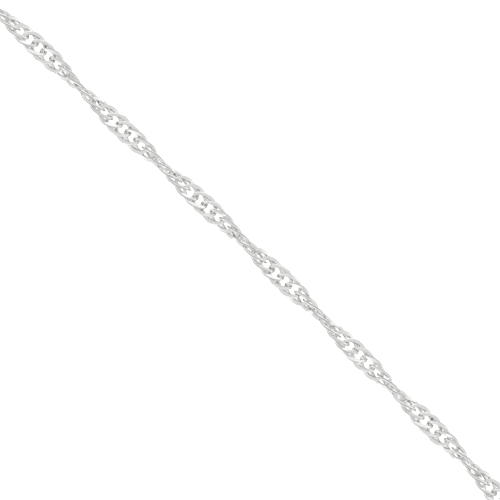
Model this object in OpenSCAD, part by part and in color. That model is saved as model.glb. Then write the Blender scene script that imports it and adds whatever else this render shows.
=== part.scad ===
// Neck chain of twisted curb links, closed with a ring clasp and laid out flat in a loop.
// Millimetres, +Z up, resting on z = 0. The front of the loop runs along +X.
// Each link hooks into the two links before it and the two after it.

/* [Chain] */
// Distance from one link to the next
link_pitch = 1.2; // [1.1:0.02:1.4]
// Width of a link over its wire
link_w = 2.05; // [1.9:0.05:2.2]
// Width of the flattened wire, measured in the plane of the link
wire_w = 0.36; // [0.28:0.02:0.4]
// Thickness of the flattened wire
wire_t = 0.24; // [0.2:0.02:0.3]
// How square the link is: 2 is an ellipse, and less is more pointed
link_square = 1.8; // [1.6:0.1:2.4]
// Twist of a single link, degrees per millimetre
link_twist = 14; // [12:0.5:18]
// Twist of the whole chain at the middle of the front, degrees per millimetre
chain_twist = 16.2; // [15:0.1:17]
// Growth of that twist towards +X, degrees per millimetre squared
twist_growth = 0.018; // [0:0.002:0.03]
// Turn of the chain about itself at the middle of the front, degrees
twist_start = 105; // [0:5:180]
// Links made one by one to either side of the middle of the front
front_links = 32; // [20:1:36]
// Links made one by one at each end of the chain
end_links = 3; // [2:1:5]

/* [Rings] */
// Outer diameter of the two rings
ring_d = 3; // [2.9:0.05:3.2]
// Wire diameter of the two rings
ring_wire = 0.4; // [0.34:0.02:0.44]

/* [Clasp] */
// Outer diameter of the clasp
clasp_d = 5.2; // [4.8:0.1:7]
// Wire diameter of the clasp
clasp_wire = 0.7; // [0.6:0.02:0.76]
// Wire diameter of the clasp's eye
eye_wire = 0.4; // [0.3:0.02:0.44]
// Diameter of the thumb knob
knob_d = 0.6; // [0.4:0.05:0.7]
// Height of the thumb knob above the clasp's wire
knob_h = 0.5; // [0.3:0.05:0.8]
// Place of the thumb knob round the clasp, degrees
knob_angle = 60; // [30:5:150]

/* [Clearance] */
// Gap between pieces that hook into each other
gap = 0.1; // [0.1:0.01:0.14]

/* [Hidden] */
$fn = 48;

// Route of the chain's centre line, a closed loop from the clasp towards -X and round the front
ROUTE = [
  [0, -46.5], [-18, -46.5], [-36, -46], [-53.4, -42.8], [-68.6, -34.8], [-80, -22.4], [-86, -7.2],
  [-86.2, 9], [-80.6, 24], [-69, 36.4], [-53.4, 44.5],
  [-36, 47.5], [-18, 47.8], [0, 48.1], [18, 47.9], [36, 47.4],
  [53.4, 44.4], [69, 36.4], [80.6, 24], [86.2, 9],
  [86, -7.2], [80, -22.4], [68.6, -34.8], [53.4, -42.8], [36, -46], [18, -46.5]
];
// Steps of the smooth curve between two points of the route
route_steps = 12;
// Sides of a link and of its wire, and of the plain run's tube
link_sides = 12;
wire_sides = 6;
tube_sides = 8;
// Distance between rings of the tube
tube_step = 5;
// Length along the route, to each side of a place, over which its heading is taken
heading_reach = 0.5;

// Half length and half width of a link's centre line
link_a = link_pitch + (wire_w + gap) / 2;
link_b = (link_w - wire_w) / 2;
// Reach of a link from its middle, along the chain
link_reach = link_a + wire_w / 2;
// The chain's centre line lies half a link above the surface
chain_z = link_w / 2;

// The clasp lies level, over the end ring's wire at one side and on its eye at the other, with
// the jump ring halfway between its height and the chain's
clasp_z = ring_wire + gap + clasp_wire / 2;
jump_z = (clasp_z + chain_z) / 2;
clasp_r = (clasp_d - clasp_wire) / 2;
eye_r = clasp_z - eye_wire / 2;
ring_r = (ring_d - ring_wire) / 2;
// Steps along the chain from the last link, over the jump ring and clasp, to the first link
link_to_jump = (link_pitch + wire_w + gap) / 2;
jump_to_clasp = (ring_wire + clasp_wire) / 2 + gap;
clasp_to_link = (clasp_wire + wire_w) / 2 + gap + link_a;
clasp_reach = link_to_jump + 2 * ring_r + jump_to_clasp + 2 * clasp_r + clasp_to_link;

// Smooth closed curve through the route, as points and as the length run to each
function route_at(i) = ROUTE[(i + len(ROUTE)) % len(ROUTE)];
function curve_point(a, b, c, d, t) =
  (2 * b + (c - a) * t + (2 * a - 5 * b + 4 * c - d) * t * t + (3 * b - a - 3 * c + d) * t * t * t) / 2;
curve = [
  for (i = [0:len(ROUTE) - 1], k = [0:route_steps - 1])
    curve_point(route_at(i - 1), route_at(i), route_at(i + 1), route_at(i + 2), k / route_steps),
  ROUTE[0]
];
run = [
  for (i = 0, u = 0; i < len(curve); i = i + 1, u = u + norm(curve[min(i, len(curve) - 1)] - curve[i - 1]))
    u
];
loop_length = run[len(run) - 1];
curve_x = [for (i = [0:len(curve) - 1]) [run[i], curve[i].x]];
curve_y = [for (i = [0:len(curve) - 1]) [run[i], curve[i].y]];
function place(u) = [lookup(u, curve_x), lookup(u, curve_y)];
function heading(u) =
  let (ahead = place(u + heading_reach) - place(u - heading_reach)) atan2(ahead.y, ahead.x);

// Links of the whole chain, an even number at an even step, counted from the clasp
chain_length = loop_length - clasp_reach;
link_count = 2 * round((chain_length / link_pitch + 1) / 2);
link_step = chain_length / (link_count - 1);
function link_run(i) = clasp_reach / 2 + i * link_step;
front_first = link_count / 2 - front_links;
front_last = link_count / 2 + front_links - 1;

// Turn of the chain about its own line: measured over the front, and even from there to the
// clasp, where the first link lies flat and the last stands on edge
front_half = front_links * link_step;
function front_turn(s) = twist_start + chain_twist * s + twist_growth * s * s;
function near_turn(turn, rest) = rest + 180 * round((turn - rest) / 180);
back_half = chain_length / 2 - front_half;
back_turn = chain_twist * back_half;
turn_first = near_turn(front_turn(-front_half) - back_turn, 0);
turn_last = near_turn(front_turn(front_half) + back_turn, 90);
function link_turn(i) =
  let (s = (i - (link_count - 1) / 2) * link_step, past = (abs(s) - front_half) / back_half)
  abs(s) <= front_half ? front_turn(s)
  : s < 0 ? front_turn(-front_half) * (1 - past) + turn_first * past
  : front_turn(front_half) * (1 - past) + turn_last * past;

// Centre line of a link, an oval as square as link_square says, with its outward direction
function oval(v) = sign(v) * pow(abs(v), 2 / link_square);
flat_share = oval(cos(180 / link_sides));
function link_line(k) =
  let (t = 360 * (k + 0.5) / link_sides, x = oval(cos(t)) / flat_share, y = oval(sin(t)) / flat_share,
    out_x = pow(abs(x), link_square - 1) * sign(x) / link_a,
    out_y = pow(abs(y), link_square - 1) * sign(y) / link_b,
    out = [out_x, out_y])
  [[x * link_a, y * link_b], out / norm(out)];
// Section of its wire, whose highest corners lie at half the thickness
wire_rise = max([for (m = [0:wire_sides - 1]) sin(360 * m / wire_sides)]);
function wire_point(m) =
  let (t = 360 * m / wire_sides) [wire_w / 2 * cos(t), wire_t / 2 * sin(t) / wire_rise];
link_points = [
  for (k = [0:link_sides - 1], m = [0:wire_sides - 1])
    let (line = link_line(k), wire = wire_point(m), p = line[0] + line[1] * wire.x,
      turn = -link_twist * p.x)
    [p.x, p.y * cos(turn) - wire.y * sin(turn), p.y * sin(turn) + wire.y * cos(turn)]
];
function link_corner(k, m) = (k % link_sides) * wire_sides + m % wire_sides;
link_faces = [
  for (k = [0:link_sides - 1], m = [0:wire_sides - 1], half = [0, 1])
    half == 0 ? [link_corner(k, m), link_corner(k, m + 1), link_corner(k + 1, m + 1)]
    : [link_corner(k, m), link_corner(k + 1, m + 1), link_corner(k + 1, m)]
];

// A point given in a link's own frame, set where link i lies in the loop
function set_link(p, i) =
  let (turn = link_turn(i), at = place(link_run(i)), way = heading(link_run(i)),
    y = p.y * cos(turn) - p.z * sin(turn), z = p.y * sin(turn) + p.z * cos(turn))
  [at.x + p.x * cos(way) - y * sin(way), at.y + p.x * sin(way) + y * cos(way), chain_z + z];

// Interlocked links at the front and beside the clasp, each a loose solid
module chain_links() {
  made = concat(
    [for (i = [0:end_links - 1]) i],
    [for (i = [front_first:front_last]) i],
    [for (i = [link_count - end_links:link_count - 1]) i]
  );
  color("silver")
    polyhedron(
      points = [for (i = made, p = link_points) set_link(p, i)],
      faces = [for (n = [0:len(made) - 1], f = link_faces) f + n * len(link_points) * [1, 1, 1]]
    );
}

// Rings of a tube as wide as the chain, swept along the route from one length to another
function tube_ring(u) = [
  for (m = [0:tube_sides - 1])
    let (t = 360 * (m + 0.5) / tube_sides, r = link_w / 2 / cos(180 / tube_sides),
      at = place(u), way = heading(u))
    [at.x - r * cos(t) * sin(way), at.y + r * cos(t) * cos(way), chain_z + r * sin(t)]
];
function tube_points(u0, u1, n) = [for (k = [0:n], p = tube_ring(u0 + (u1 - u0) * k / n)) p];
function tube_faces(n, first) = [
  for (k = [0:n - 1], m = [0:tube_sides - 1], half = [0, 1])
    let (a = first + k * tube_sides, next = (m + 1) % tube_sides)
    half == 0 ? [a + m, a + tube_sides + next, a + next]
    : [a + m, a + tube_sides + m, a + tube_sides + next],
  [for (m = [0:tube_sides - 1]) first + m],
  [for (m = [tube_sides - 1:-1:0]) first + n * tube_sides + m]
];

// Plain run of the chain from the front round each end of the loop to the links at the clasp
module chain_back() {
  near = link_run(end_links - 1) + link_reach + gap;
  far = link_run(front_first) - link_reach - gap;
  n = ceil((far - near) / tube_step);
  color("silver")
    polyhedron(
      points = concat(tube_points(near, far, n), tube_points(loop_length - far, loop_length - near, n)),
      faces = concat(tube_faces(n, 0), tube_faces(n, (n + 1) * tube_sides))
    );
}

// Round ring of wire about Z
module wire_ring(r, wire) {
  rotate_extrude()
    translate([r, 0])
      circle(d = wire);
}

// Sets a piece at height z between the chain's ends, at x from the last link towards the first
module at_clasp(x, z) {
  translate([ROUTE[0].x + clasp_reach / 2 - x, ROUTE[0].y, z])
    children();
}

// Soldered ring on the first link, standing round the clasp's wire
module end_ring() {
  color("silver")
    at_clasp(clasp_reach - clasp_to_link, ring_d / 2)
      rotate([90, 0, 0])
        wire_ring(ring_r, ring_wire);
}

// Ring that joins the last link to the clasp's eye
module jump_ring() {
  color("silver")
    at_clasp(link_to_jump + ring_r, jump_z)
      wire_ring(ring_r, ring_wire);
}

// Ring clasp in one piece, with its eye and thumb knob
module clasp() {
  color("silver")
    at_clasp(clasp_reach - clasp_to_link - clasp_r, clasp_z) {
      wire_ring(clasp_r, clasp_wire);
      translate([clasp_r + eye_r, 0, 0])
        rotate([90, 0, 0])
          wire_ring(eye_r, eye_wire);
      rotate([0, 0, knob_angle])
        translate([clasp_r, 0, 0])
          cylinder(d = knob_d, h = clasp_wire / 2 + knob_h);
    }
}

chain_links();
chain_back();
end_ring();
jump_ring();
clasp();
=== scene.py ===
import bpy
import bmesh
import math
from mathutils import Matrix, Vector


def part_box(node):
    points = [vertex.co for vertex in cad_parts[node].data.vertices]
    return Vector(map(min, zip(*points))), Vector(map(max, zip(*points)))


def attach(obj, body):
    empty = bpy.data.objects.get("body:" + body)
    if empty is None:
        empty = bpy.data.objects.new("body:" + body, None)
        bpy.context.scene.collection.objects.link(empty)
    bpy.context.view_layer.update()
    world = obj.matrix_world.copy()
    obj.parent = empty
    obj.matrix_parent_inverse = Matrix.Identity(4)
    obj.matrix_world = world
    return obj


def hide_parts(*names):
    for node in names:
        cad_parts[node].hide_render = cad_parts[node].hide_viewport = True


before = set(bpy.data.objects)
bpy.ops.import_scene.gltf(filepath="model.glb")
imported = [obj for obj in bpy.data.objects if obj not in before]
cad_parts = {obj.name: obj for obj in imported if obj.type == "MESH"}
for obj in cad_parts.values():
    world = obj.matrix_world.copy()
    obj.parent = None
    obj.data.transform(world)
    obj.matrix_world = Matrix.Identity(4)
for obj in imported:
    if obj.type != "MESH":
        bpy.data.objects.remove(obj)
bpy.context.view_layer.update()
print("frame loaded")

mm = 0.001


# One node, with its own settings and with a socket or a plain value for each input named
def addNode(tree, kind, inputs=None, **values):
    node = tree.nodes.new(kind)
    for name, value in values.items():
        setattr(node, name, value)
    for name, source in (inputs or {}).items():
        if isinstance(source, bpy.types.NodeSocket):
            tree.links.new(source, node.inputs[name])
        else:
            node.inputs[name].default_value = source
    return node


def calc(tree, operation, *terms):
    return addNode(tree, "ShaderNodeMath", dict(enumerate(terms)), operation=operation).outputs[0]


# Named sockets of one kind, on a tree's "INPUT" or "OUTPUT" side
def addSockets(tree, side, kind, *names):
    for name in names:
        tree.interface.new_socket(name=name, in_out=side, socket_type=kind)


# Route of the chain's centre line in metres, from the clasp towards -X and round the front
routePoints = [
    (0, -0.0465), (-0.018, -0.0465), (-0.036, -0.046), (-0.0534, -0.0428), (-0.0686, -0.0348),
    (-0.08, -0.0224), (-0.086, -0.0072), (-0.0862, 0.009), (-0.0806, 0.024), (-0.069, 0.0364),
    (-0.0534, 0.0445), (-0.036, 0.0475), (-0.018, 0.0478), (0, 0.0481), (0.018, 0.0479),
    (0.036, 0.0474), (0.0534, 0.0444), (0.069, 0.0364), (0.0806, 0.024), (0.0862, 0.009),
    (0.086, -0.0072), (0.08, -0.0224), (0.0686, -0.0348), (0.0534, -0.0428), (0.036, -0.046),
    (0.018, -0.0465),
]

chainSettings = {
    "routeSteps": 12,  # straight pieces of the smooth curve between two points of the route
    "claspReach": 10.64 * mm,  # from the last link's middle, over the clasp, to the first link's
    "linkCount": 368,
    "frontLinks": 32,  # to either side of the middle of the front
    "endLinks": 3,  # beside the clasp, at each end of the chain
    "height": 1.025 * mm,  # the centre line above the surface
    "twistStart": 105,  # turn at the middle of the front, degrees
    "twistRate": 16.2,  # degrees per millimetre there
    "twistGrowth": 0.018,  # degrees per millimetre squared, towards +X
    "firstTurn": 0,  # the first link lies flat
    "lastTurn": 90,  # and the last stands on edge, both in degrees
    "sharpFrom": 38,  # edges that bend by more degrees than this stay sharp
}

linkSettings = {
    "Half Length": 1.43 * mm,  # of the wire's centre line, as the next one
    "Half Width": 0.895 * mm,
    "Squareness": 1.8,  # 2 is an ellipse, less is more pointed
    "Wire Width": 0.48 * mm,
    "Wire Thickness": 0.29 * mm,
    "Corner": 0.10 * mm,  # chamfer of the flattened wire
    "End Thinning": 0.25,  # share of the wire's size lost at the link's two ends
    "Link Twist": -14.0 / mm,  # degrees per metre
}

# How far a link may lie out of its place, in degrees
linkLooseness = {
    "Tilt Wobble": 7.0,
    "Yaw Wobble": 4.0,
}

# Links that are seen from close by are finer than those in the rest of the loop. Sides counts
# the corners of a link's oval
frontStretch = {"Front": True, "Plain Wire": False, "Sides": 24, "Seed": 7}
backStretch = {"Front": False, "Plain Wire": True, "Sides": 12, "Seed": 8}

plainWireSides = 6
hexagonTop = math.sin(math.radians(60))  # half height of a flat-lying hexagon that is 2 across


# Geometry Nodes: one link, an oval of flattened wire that is twisted along its length
def makeLinkTree():
    tree = bpy.data.node_groups.new("twistedLink", "GeometryNodeTree")
    addSockets(tree, "INPUT", "NodeSocketFloat", *linkSettings)
    addSockets(tree, "INPUT", "NodeSocketInt", "Sides")
    addSockets(tree, "INPUT", "NodeSocketBool", "Plain Wire")
    addSockets(tree, "OUTPUT", "NodeSocketGeometry", "Link")
    sizes = addNode(tree, "NodeGroupInput").outputs
    place = addNode(tree, "GeometryNodeInputPosition").outputs[0]
    along, across, _ = addNode(tree, "ShaderNodeSeparateXYZ", {0: place}).outputs
    power = calc(tree, "DIVIDE", 2, sizes["Squareness"])

    def oval(share, half):
        bent = calc(tree, "POWER", calc(tree, "ABSOLUTE", share), power)
        return calc(tree, "MULTIPLY", calc(tree, "MULTIPLY", bent, calc(tree, "SIGN", share)), half)

    circle = addNode(tree, "GeometryNodeCurvePrimitiveCircle", {
        "Resolution": sizes["Sides"], "Radius": 1})
    outline = addNode(tree, "ShaderNodeCombineXYZ", {
        0: oval(along, sizes["Half Length"]), 1: oval(across, sizes["Half Width"])})
    bent = addNode(tree, "GeometryNodeSetPosition", {
        0: circle.outputs[0], "Position": outline.outputs[0]})
    upright = addNode(tree, "GeometryNodeSetCurveNormal", {0: bent.outputs[0]}, mode="Z_UP")

    wire = addNode(tree, "GeometryNodeCurvePrimitiveQuadrilateral", {
        "Width": sizes["Wire Width"], "Height": sizes["Wire Thickness"]})
    chamfered = addNode(tree, "GeometryNodeFilletCurve", {
        0: wire.outputs[0], "Radius": sizes["Corner"]}, mode="POLY")
    hexagon = addNode(tree, "GeometryNodeCurvePrimitiveCircle", {
        "Resolution": plainWireSides, "Radius": 1})
    flatness = addNode(tree, "ShaderNodeCombineXYZ", {
        0: calc(tree, "MULTIPLY", sizes["Wire Width"], 0.5),
        1: calc(tree, "MULTIPLY", sizes["Wire Thickness"], 0.5 / hexagonTop), 2: 1})
    plain = addNode(tree, "GeometryNodeTransform", {
        0: hexagon.outputs[0], "Scale": flatness.outputs[0]})
    section = addNode(tree, "GeometryNodeSwitch", {
        0: sizes["Plain Wire"], 1: chamfered.outputs[0], 2: plain.outputs[0]}, input_type="GEOMETRY")
    # "edge" is 0 on the flattened faces, 1 on the wire's sides and between them on its chamfers. The
    # silver paints shade where it nears 1
    flatHalf = calc(tree, "MULTIPLY", calc(tree, "SUBTRACT", sizes["Wire Width"], sizes["Corner"]), 0.5)
    onSide = calc(tree, "GREATER_THAN", calc(tree, "ABSOLUTE", along), flatHalf)
    marked = addNode(tree, "GeometryNodeStoreNamedAttribute", {
        0: section.outputs[0], "Name": "edge", "Value": onSide}, data_type="FLOAT", domain="POINT")
    reach = calc(tree, "DIVIDE", calc(tree, "ABSOLUTE", along), sizes["Half Length"])
    thin = calc(tree, "MULTIPLY", calc(tree, "MULTIPLY", reach, reach), sizes["End Thinning"])
    swept = addNode(tree, "GeometryNodeCurveToMesh", {
        0: upright.outputs[0], 1: marked.outputs[0], "Scale": calc(tree, "SUBTRACT", 1, thin)})

    angle = calc(tree, "RADIANS", calc(tree, "MULTIPLY", along, sizes["Link Twist"]))
    turned = addNode(tree, "ShaderNodeVectorRotate", {
        "Vector": place, "Axis": (1, 0, 0), "Angle": angle})
    twisted = addNode(tree, "GeometryNodeSetPosition", {
        0: swept.outputs[0], "Position": turned.outputs[0]})
    smooth = addNode(tree, "GeometryNodeSetShadeSmooth", {0: twisted.outputs[0]})
    addNode(tree, "NodeGroupOutput", {0: smooth.outputs[0]})
    return tree


# Geometry Nodes: links at an even step along the route, turned by its "turn" attribute
def makeChainTree(linkTree):
    tree = bpy.data.node_groups.new("chainAlongRoute", "GeometryNodeTree")
    addSockets(tree, "INPUT", "NodeSocketGeometry", "Route")
    addSockets(tree, "INPUT", "NodeSocketFloat", *linkSettings, *linkLooseness, "Run Start", "Run End")
    addSockets(tree, "INPUT", "NodeSocketInt",
               "Links", "Front From", "Front To", "End Links", "Sides", "Seed")
    addSockets(tree, "INPUT", "NodeSocketBool", "Front", "Plain Wire")
    addSockets(tree, "INPUT", "NodeSocketMaterial", "Finish")
    addSockets(tree, "OUTPUT", "NodeSocketGeometry", "Chain")
    sizes = addNode(tree, "NodeGroupInput").outputs

    # Inputs 4 and 5 of the trim are its start and end as lengths
    line = addNode(tree, "GeometryNodeMeshToCurve", {0: sizes["Route"]})
    cut = addNode(tree, "GeometryNodeTrimCurve", {
        0: line.outputs[0], 4: sizes["Run Start"], 5: sizes["Run End"]}, mode="LENGTH")
    spots = addNode(tree, "GeometryNodeCurveToPoints", {0: cut.outputs[0], "Count": sizes["Links"]})

    # The front and the links beside the clasp are one piece, and the rest of the loop the other
    number = addNode(tree, "GeometryNodeInputIndex").outputs[0]

    def compare(operation, a, b):
        node = addNode(tree, "FunctionNodeCompare", data_type="INT", operation=operation)
        for socket, source in zip([s for s in node.inputs if s.enabled], (a, b)):
            tree.links.new(source, socket)
        return node.outputs[0]

    def either(operation, a, b):
        return addNode(tree, "FunctionNodeBooleanMath", {0: a, 1: b}, operation=operation).outputs[0]

    atFront = either("AND", compare("GREATER_EQUAL", number, sizes["Front From"]),
                     compare("LESS_THAN", number, sizes["Front To"]))
    lastFew = calc(tree, "SUBTRACT", sizes["Links"], sizes["End Links"])
    atEnds = either("OR", compare("LESS_THAN", number, sizes["End Links"]),
                    compare("GREATER_EQUAL", number, lastFew))
    unwanted = either("XOR", either("OR", atFront, atEnds), sizes["Front"])
    kept = addNode(tree, "GeometryNodeDeleteGeometry", {
        0: spots.outputs[0], 1: unwanted}, domain="POINT")

    tilt, yaw = sizes["Tilt Wobble"], sizes["Yaw Wobble"]
    most = addNode(tree, "ShaderNodeCombineXYZ", {0: tilt, 1: yaw, 2: yaw}).outputs[0]
    least = addNode(tree, "ShaderNodeVectorMath", {0: most, "Scale": -1}, operation="SCALE").outputs[0]
    wobble = addNode(tree, "FunctionNodeRandomValue", {0: least, 1: most, "Seed": sizes["Seed"]},
                     data_type="FLOAT_VECTOR").outputs[0]
    turn = addNode(tree, "GeometryNodeInputNamedAttribute", {"Name": "turn"}, data_type="FLOAT")
    turnOnly = addNode(tree, "ShaderNodeCombineXYZ", {0: turn.outputs[0]}).outputs[0]
    degrees = addNode(tree, "ShaderNodeVectorMath", {0: turnOnly, 1: wobble}, operation="ADD")
    radians = addNode(tree, "ShaderNodeVectorMath", {
        0: degrees.outputs[0], "Scale": math.radians(1)}, operation="SCALE")
    spin = addNode(tree, "FunctionNodeEulerToRotation", {0: radians.outputs[0]})
    heading = addNode(tree, "FunctionNodeAlignRotationToVector", {"Vector": spots.outputs["Tangent"]},
                      axis="X", pivot_axis="Z")
    stance = addNode(tree, "FunctionNodeRotateRotation", {0: heading.outputs[0], 1: spin.outputs[0]},
                     rotation_space="LOCAL")

    link = addNode(tree, "GeometryNodeGroup", node_tree=linkTree)
    for socket in link.inputs:
        tree.links.new(sizes[socket.name], socket)
    placed = addNode(tree, "GeometryNodeInstanceOnPoints", {
        "Points": kept.outputs[0], "Instance": link.outputs[0], "Rotation": stance.outputs[0]})
    real = addNode(tree, "GeometryNodeRealizeInstances", {0: placed.outputs[0]})
    done = addNode(tree, "GeometryNodeSetMaterial", {0: real.outputs[0], "Material": sizes["Finish"]})
    addNode(tree, "NodeGroupOutput", {0: done.outputs[0]})
    return tree


# Points of a smooth closed curve through the route, and the length run up to each of them
def makeRoute():
    count, steps = len(routePoints), chainSettings["routeSteps"]
    line = []
    for i in range(count):
        a, b, c, d = (Vector(routePoints[(i + k) % count]) for k in (-1, 0, 1, 2))
        for k in range(steps):
            t = k / steps
            line.append((2 * b + (c - a) * t + (2 * a - 5 * b + 4 * c - d) * t ** 2
                         + (3 * b - a - 3 * c + d) * t ** 3) / 2)
    line.append(line[0].copy())
    run = [0.0]
    for a, b in zip(line, line[1:]):
        run.append(run[-1] + (b - a).length)
    return line, run


# The chain's turn in degrees after a run of u. It follows the photo over the front, and from
# there it changes evenly up to the links beside the clasp
def chainTurn(u, loopLength):
    chainLength = loopLength - chainSettings["claspReach"]
    step = chainLength / (chainSettings["linkCount"] - 1)
    frontHalf = chainSettings["frontLinks"] * step
    backHalf = chainLength / 2 - frontHalf
    rate, growth = chainSettings["twistRate"], chainSettings["twistGrowth"]

    def frontTurn(s):
        return chainSettings["twistStart"] + rate * s / mm + growth * (s / mm) ** 2

    s = u - loopLength / 2
    if abs(s) <= frontHalf:
        return frontTurn(s)
    side, rest = (1, chainSettings["lastTurn"]) if s > 0 else (-1, chainSettings["firstTurn"])
    edge = frontTurn(side * frontHalf)
    free = edge + side * rate * backHalf / mm
    # A link looks the same after half a turn, so the nearest such turn to the free one will do
    final = rest + 180 * math.floor((free - rest) / 180 + 0.5)
    past = (abs(s) - frontHalf) / backHalf
    return edge * (1 - past) + final * past


def makeChain(name, tree, material, stretch):
    line, run = makeRoute()
    loopLength = run[-1]
    mesh = bpy.data.meshes.new(name)
    mesh.from_pydata([(p.x, p.y, chainSettings["height"]) for p in line],
                     [(i, i + 1) for i in range(len(line) - 1)], [])
    turn = mesh.attributes.new("turn", "FLOAT", "POINT")
    turn.data.foreach_set("value", [chainTurn(u, loopLength) for u in run])
    chain = bpy.data.objects.new(name, mesh)
    bpy.context.scene.collection.objects.link(chain)

    nodes = chain.modifiers.new("chain", "NODES")
    nodes.node_group = tree
    count, frontLinks = chainSettings["linkCount"], chainSettings["frontLinks"]
    values = {
        **linkSettings, **linkLooseness, **stretch,
        "Run Start": chainSettings["claspReach"] / 2,
        "Run End": loopLength - chainSettings["claspReach"] / 2,
        "Links": count,
        "Front From": count // 2 - frontLinks,
        "Front To": count // 2 + frontLinks,
        "End Links": chainSettings["endLinks"],
        "Finish": material,
    }
    for socket in tree.interface.items_tree:
        if socket.in_out == "INPUT" and socket.name in values:
            nodes[socket.identifier] = values[socket.name]

    depsgraph = bpy.context.evaluated_depsgraph_get()
    solid = bpy.data.meshes.new_from_object(chain.evaluated_get(depsgraph), depsgraph=depsgraph)
    chain.modifiers.remove(nodes)
    chain.data = solid
    solid.materials.clear()  # the tree leaves an empty slot before the finish
    solid.materials.append(material)
    solid.polygons.foreach_set("material_index", [0] * len(solid.polygons))
    solid.set_sharp_from_angle(angle=math.radians(chainSettings["sharpFrom"]))
    print(name, "made of", len(solid.polygons), "faces")
    return chain


fittingSizes = {
    "ringSides": 72,
    "wireSides": 24,
    "sharpFrom": 40,  # edges that bend by more degrees than this stay sharp
    "claspDiameter": 5.2 * mm,
    "claspWire": 0.7 * mm,
    "claspHeight": 0.85 * mm,  # its middle above the surface
    "solderReach": 16,  # degrees to each side of the eye over which the clasp's wire swells
    "solderSwell": 0.10,  # share of the wire's thickness, as gateThinner and the depths below
    "gateFrom": 68,  # the gate lies between these two angles, in degrees
    "gateTo": 118,
    "gateThinner": 0.08,
    "grooveReach": 1.6,  # half width of the groove at each end of the gate, degrees
    "grooveDepth": 0.16,
    "eyeWire": 0.4 * mm,
    "knobAngle": 60,
    "knobRadius": 0.3 * mm,
    "knobTop": 0.85 * mm,  # above the middle of the clasp's wire
    "knobSides": 28,
    "ringWire": 0.4 * mm,
    "jointAngle": 125,  # where the jump ring's two ends meet, degrees
    "jointReach": 1.2,  # half width of the groove between them, degrees
    "jointDepth": 0.35,
}

grooveShares = (-1, -0.5, 0, 0.5, 1)  # places of the wire's corners over a groove's reach

# The knob from its foot to its top: shares of its radius and its height, and its painted shade, darkest
# at the waist
knobOutline = [
    (0.72, 0.25, 1), (0.72, 0.42, 1), (0.72, 0.52, 0.8), (0.80, 0.58, 0.4), (0.96, 0.63, 0),
    (1, 0.70, 0), (1, 0.86, 0), (0.92, 0.94, 0), (0.70, 0.985, 0), (0.36, 1, 0),
]

onEdge = Matrix.Rotation(math.radians(90), 4, "X")  # stands a flat ring up along X


# Soft bump that is 1 at the middle and 0 a reach away, for angles in degrees
def softBump(angle, middle, reach):
    away = abs((angle - middle + 180) % 360 - 180) / reach
    return (1 + math.cos(math.pi * away)) / 2 if away < 1 else 0.0


# Round wire bent to a ring in its own XY plane. The profile gives the share of its thickness and
# the painted shade at each angle, and the extra angles keep a narrow groove sharp
def addWireRing(mesh, place, radius, wire, profile, extraAngles=()):
    sides, edge = fittingSizes["ringSides"], mesh.verts.layers.float["edge"]
    angles = sorted({360 * i / sides for i in range(sides)} | {a % 360 for a in extraAngles})
    rings = []
    for angle in angles:
        around = Vector((math.cos(math.radians(angle)), math.sin(math.radians(angle)), 0))
        share, shadeMark = profile(angle)
        half = wire / 2 * share
        ring = []
        for k in range(fittingSizes["wireSides"]):
            turn = 2 * math.pi * k / fittingSizes["wireSides"]
            spot = around * (radius + half * math.cos(turn)) + Vector((0, 0, half * math.sin(turn)))
            ring.append(mesh.verts.new(place @ spot))
            ring[-1][edge] = shadeMark
        rings.append(ring)
    for ring, after in zip(rings, rings[1:] + rings[:1]):
        for k, vert in enumerate(ring):
            nextK = (k + 1) % len(ring)
            mesh.faces.new((vert, after[k], after[nextK], ring[nextK]))


# Thumb knob turned about its own Z, with a waist and a domed top
def addKnob(mesh, place):
    r, top, sides = fittingSizes["knobRadius"], fittingSizes["knobTop"], fittingSizes["knobSides"]
    edge = mesh.verts.layers.float["edge"]
    rings = []
    for out, up, shadeMark in knobOutline:
        ring = []
        for k in range(sides):
            turn = 2 * math.pi * k / sides
            spot = Vector((out * r * math.cos(turn), out * r * math.sin(turn), up * top))
            ring.append(mesh.verts.new(place @ spot))
            # Painted shade at the knob's waist, from knobOutline
            ring[-1][edge] = shadeMark
        rings.append(ring)
    for low, high in zip(rings, rings[1:]):
        for k in range(sides):
            nextK = (k + 1) % sides
            mesh.faces.new((low[k], low[nextK], high[nextK], high[k]))
    mesh.faces.new(rings[0][::-1])
    mesh.faces.new(rings[-1])


def startMesh():
    mesh = bmesh.new()
    mesh.verts.layers.float.new("edge")
    return mesh


def finishMesh(name, mesh, material, node):
    data = bpy.data.meshes.new(name)
    mesh.to_mesh(data)
    mesh.free()
    for face in data.polygons:
        face.use_smooth = True
    data.set_sharp_from_angle(angle=math.radians(fittingSizes["sharpFrom"]))
    data.materials.append(material)
    piece = bpy.data.objects.new(name, data)
    bpy.context.scene.collection.objects.link(piece)
    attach(piece, "root")
    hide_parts(node)
    print(name, "made of", len(data.polygons), "faces")


# A ring stands or lies where its CAD node does, and takes its diameter from it
def makeRing(name, node, material, standing, joint):
    low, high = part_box(node)
    place = Matrix.Translation((low + high) / 2)
    if standing:
        place = place @ onEdge
    radius = (high.x - low.x - fittingSizes["ringWire"]) / 2
    middle, reach = fittingSizes["jointAngle"], fittingSizes["jointReach"]

    def profile(angle):
        groove = softBump(angle, middle, reach) if joint else 0.0
        # The second value is the painted shade, darkest at the bottom of the joint's groove
        return 1 - fittingSizes["jointDepth"] * groove, groove

    mesh = startMesh()
    grooves = [middle + reach * share for share in grooveShares] if joint else ()
    addWireRing(mesh, place, radius, fittingSizes["ringWire"], profile, grooves)
    finishMesh(name, mesh, material, node)


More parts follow.
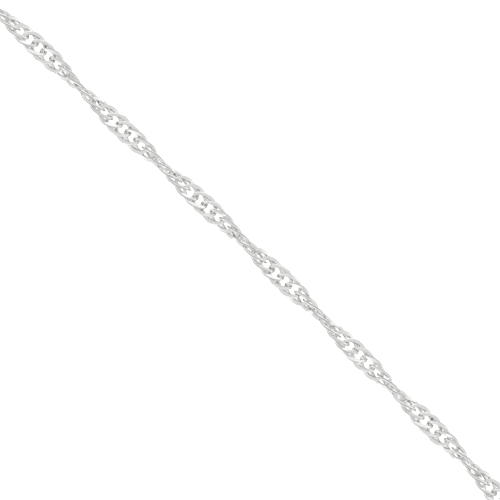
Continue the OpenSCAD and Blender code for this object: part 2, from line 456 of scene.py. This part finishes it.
def makeClasp(material):
    sizes = fittingSizes
    low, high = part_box("clasp")
    radius = (sizes["claspDiameter"] - sizes["claspWire"]) / 2
    centre = Vector((low.x + sizes["claspDiameter"] / 2, (low.y + high.y) / 2, sizes["claspHeight"]))
    place = Matrix.Translation(centre)
    gateEnds = (sizes["gateFrom"], sizes["gateTo"])

    def profile(angle):
        groove = sum(softBump(angle, end, sizes["grooveReach"]) for end in gateEnds)
        thinner = sizes["gateThinner"] if gateEnds[0] < angle < gateEnds[1] else 0.0
        swell = sizes["solderSwell"] * softBump(angle, 0, sizes["solderReach"])
        # The second value is the painted shade, darkest at the bottom of the gate's grooves
        return 1 + swell - thinner - sizes["grooveDepth"] * groove, groove

    mesh = startMesh()
    grooves = [end + sizes["grooveReach"] * share for end in gateEnds for share in grooveShares]
    addWireRing(mesh, place, radius, sizes["claspWire"], profile, grooves)
    eyeRadius = sizes["claspHeight"] - sizes["eyeWire"] / 2
    eyePlace = place @ Matrix.Translation((radius + eyeRadius, 0, 0)) @ onEdge
    addWireRing(mesh, eyePlace, eyeRadius, sizes["eyeWire"], lambda angle: (1, 0))
    knobTurn = Matrix.Rotation(math.radians(sizes["knobAngle"]), 4, "Z")
    addKnob(mesh, place @ knobTurn @ Matrix.Translation((radius, 0, 0)))
    finishMesh("claspRing", mesh, material, "clasp")


chainSilver = {
    "Light": (0.93, 0.927, 0.918, 1),
    "Dark": (0.81, 0.807, 0.799, 1),
    "Roughness": 0.12,
    "Roughness Spread": 0.10,
    "Painted Edge Shade": 0.38,  # painted shade and painted dark reflection along the wire's sides
    "Patch Scale": 900.0,  # per metre, as the next one
    "Scratch Scale": 6000.0,
    "bump": 0.010 * mm,
}

# Plain round wire keeps a tone of its own, for it has no flattened faces
fittingSilver = {
    "Light": (0.84, 0.837, 0.828, 1),
    "Dark": (0.68, 0.677, 0.668, 1),
    "Roughness": 0.11,
    "Roughness Spread": 0.08,
    "Painted Edge Shade": 0.50,  # painted shade in the grooves of the seams and under the knob's waist
    "Patch Scale": 700.0,
    "Scratch Scale": 6000.0,
    "bump": 0.006 * mm,
}

# Pattern of the worn polish and of the painted shade, the same in both finishes
wearAndShadePattern = {
    "patchDetail": 3,
    "scratchDetail": 4,
    "scratchRoughness": 0.6,
    "scratchStretch": (1, 0.16, 1),  # less than 1 draws the scratches out along Y
    "sideShadePower": 4,  # keeps the painted shade close to the sides
}


# Mix of two colours, for which the node has inputs 6 and 7 and output 2
def mixColours(tree, share, first, second):
    return addNode(tree, "ShaderNodeMix", {0: share, 6: first, 7: second}, data_type="RGBA").outputs[2]


# Shader group: soft patches of polish, hairline scratches and painted shade, a darker tone where "Edge"
# nears 1
def makeWearAndShadeGroup():
    tree = bpy.data.node_groups.new("silverWearAndShade", "ShaderNodeTree")
    addSockets(tree, "INPUT", "NodeSocketColor", "Light", "Dark")
    addSockets(tree, "INPUT", "NodeSocketFloat", "Roughness", "Roughness Spread",
               "Painted Edge Shade", "Edge", "Patch Scale", "Scratch Scale")
    addSockets(tree, "OUTPUT", "NodeSocketColor", "Colour")
    addSockets(tree, "OUTPUT", "NodeSocketFloat", "Roughness", "Height")
    wanted = addNode(tree, "NodeGroupInput").outputs
    place = addNode(tree, "ShaderNodeTexCoord").outputs["Object"]
    patches = addNode(tree, "ShaderNodeTexNoise", {
        "Vector": place, "Scale": wanted["Patch Scale"], "Detail": wearAndShadePattern["patchDetail"]})
    stretched = addNode(tree, "ShaderNodeMapping", {
        "Vector": place, "Scale": wearAndShadePattern["scratchStretch"]})
    scratches = addNode(tree, "ShaderNodeTexNoise", {
        "Vector": stretched.outputs[0], "Scale": wanted["Scratch Scale"],
        "Detail": wearAndShadePattern["scratchDetail"], "Roughness": wearAndShadePattern["scratchRoughness"]})
    polish = mixColours(tree, patches.outputs["Fac"], wanted["Dark"], wanted["Light"])
    sideShadeMask = calc(tree, "POWER", wanted["Edge"], wearAndShadePattern["sideShadePower"])
    paintedEdgeShade = calc(tree, "MULTIPLY", sideShadeMask, wanted["Painted Edge Shade"])
    # Painted shade: the colour is drawn towards black where "Edge" nears 1
    colour = mixColours(tree, paintedEdgeShade, polish, (0, 0, 0, 1))
    # The scratches' noise lies about 0.5, so it is brought to -1 to 1 before it spreads the gloss
    swing = calc(tree, "MULTIPLY", calc(tree, "SUBTRACT", scratches.outputs["Fac"], 0.5), 2)
    spread = calc(tree, "MULTIPLY", swing, wanted["Roughness Spread"])
    addNode(tree, "NodeGroupOutput", {
        "Colour": colour, "Roughness": calc(tree, "ADD", wanted["Roughness"], spread),
        "Height": scratches.outputs["Fac"]})
    return tree


def makeSilver(name, wearAndShade, settings):
    material = bpy.data.materials.new(name)
    material.use_nodes = True
    tree = material.node_tree
    tree.nodes.clear()
    surface = addNode(tree, "ShaderNodeGroup", node_tree=wearAndShade)
    for socket in surface.inputs:
        if socket.name in settings:
            socket.default_value = settings[socket.name]
    # The "edge" attribute masks the painted shade
    edge = addNode(tree, "ShaderNodeAttribute", attribute_name="edge")
    tree.links.new(edge.outputs["Fac"], surface.inputs["Edge"])
    bump = addNode(tree, "ShaderNodeBump", {
        "Distance": settings["bump"], "Height": surface.outputs["Height"]})
    shader = addNode(tree, "ShaderNodeBsdfPrincipled", {
        "Base Color": surface.outputs["Colour"], "Metallic": 1,
        "Roughness": surface.outputs["Roughness"], "Normal": bump.outputs[0]})
    addNode(tree, "ShaderNodeOutputMaterial", {"Surface": shader.outputs[0]})
    return material


stageSettings = {
    "floorSize": 8.0,
    "floorDepth": 0.12 * mm,  # under the chain's lowest wire
    "floorColour": (0.5, 0.5, 0.5, 1),
    "floorRoughness": 0.8,
    "floorGlow": 0.94,  # lifts the ground to the photo's white and thins the shadows out
    "floorMirrored": 0.82,  # brightness of the ground where the silver mirrors it
    "frameWidth": 51.3 * mm,  # what the picture shows, across
    "frameCentre": (0, 47.925 * mm),
    "cameraHeight": 0.6,  # above the chain's centre line
    "cameraTurn": 44.02,  # the chain runs this many degrees below the horizontal in the picture
    "sensor": 36.0,  # millimetres across
    "skyTop": 0.78,  # darker overhead, so that the flattened faces stand out from their bright chamfers
    "skyEdge": 1.24,
    "skyTopFrom": 0.8,  # the sky is darkest above this rise of a ray, 1 being straight up
}

# Softboxes: name, place, size across and power
softboxes = [
    ("leftSoftbox", (-0.35, 0.55, 0.45), 0.50, 0.10),
    ("rightSoftbox", (0.50, -0.15, 0.50), 0.35, 0.05),
]


def makeFloor():
    half, z = stageSettings["floorSize"] / 2, -stageSettings["floorDepth"]
    corners = [(-half, -half, z), (half, -half, z), (half, half, z), (-half, half, z)]
    mesh = bpy.data.meshes.new("floor")
    mesh.from_pydata(corners, [], [(0, 1, 2, 3)])
    material = bpy.data.materials.new("whiteGround")
    material.use_nodes = True
    tree = material.node_tree
    tree.nodes.clear()
    ground = addNode(tree, "ShaderNodeBsdfPrincipled", {
        "Base Color": stageSettings["floorColour"], "Roughness": stageSettings["floorRoughness"],
        "Specular IOR Level": 0.0, "Emission Color": (1, 1, 1, 1),
        "Emission Strength": stageSettings["floorGlow"]})
    mirrored = addNode(tree, "ShaderNodeEmission", {"Strength": stageSettings["floorMirrored"]})
    seen = addNode(tree, "ShaderNodeLightPath").outputs["Is Camera Ray"]
    both = addNode(tree, "ShaderNodeMixShader", {0: seen, 1: mirrored.outputs[0], 2: ground.outputs[0]})
    addNode(tree, "ShaderNodeOutputMaterial", {"Surface": both.outputs[0]})
    mesh.materials.append(material)
    floor = bpy.data.objects.new("floor", mesh)
    bpy.context.scene.collection.objects.link(floor)


def makeSoftboxes():
    target = Vector((*stageSettings["frameCentre"], 0))
    for name, place, size, power in softboxes:
        data = bpy.data.lights.new(name, "AREA")
        data.shape = "DISK"
        data.size = size
        data.energy = power
        lamp = bpy.data.objects.new(name, data)
        lamp.location = place
        lamp.rotation_euler = (target - Vector(place)).to_track_quat("-Z", "Y").to_euler()
        bpy.context.scene.collection.objects.link(lamp)


def makeSky():
    world = bpy.data.worlds.new("studio")
    bpy.context.scene.world = world
    world.use_nodes = True
    tree = world.node_tree
    direction = addNode(tree, "ShaderNodeTexCoord").outputs["Generated"]
    height = addNode(tree, "ShaderNodeSeparateXYZ", {0: direction}).outputs[2]
    sky = addNode(tree, "ShaderNodeMapRange", {
        "Value": height, "From Min": 0.0, "From Max": stageSettings["skyTopFrom"],
        "To Min": stageSettings["skyEdge"], "To Max": stageSettings["skyTop"]},
        interpolation_type="SMOOTHSTEP")
    tree.links.new(sky.outputs[0], tree.nodes["Background"].inputs["Color"])


def makeCamera():
    data = bpy.data.cameras.new("camera")
    data.sensor_width = stageSettings["sensor"]
    data.lens = stageSettings["sensor"] * stageSettings["cameraHeight"] / stageSettings["frameWidth"]
    camera = bpy.data.objects.new("camera", data)
    height = chainSettings["height"] + stageSettings["cameraHeight"]
    camera.location = (*stageSettings["frameCentre"], height)
    camera.rotation_euler = (0, 0, math.radians(stageSettings["cameraTurn"]))
    bpy.context.scene.collection.objects.link(camera)
    bpy.context.scene.camera = camera


wearAndShade = makeWearAndShadeGroup()
chainMaterial = makeSilver("chainSilver", wearAndShade, chainSilver)
fittingMaterial = makeSilver("fittingSilver", wearAndShade, fittingSilver)

chainTree = makeChainTree(makeLinkTree())
frontLinks = makeChain("frontLinks", chainTree, chainMaterial, frontStretch)
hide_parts("chain_links")
backLinks = makeChain("backLinks", chainTree, chainMaterial, backStretch)
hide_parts("chain_back")
for piece in (frontLinks, backLinks):
    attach(piece, "root")

makeRing("endRing", "end_ring", fittingMaterial, standing=True, joint=False)
makeRing("jumpRing", "jump_ring", fittingMaterial, standing=False, joint=True)
makeClasp(fittingMaterial)

makeFloor()
makeSoftboxes()
makeSky()
makeCamera()
bpy.context.scene.view_settings.view_transform = "Standard"
print("stage, lights and camera set")
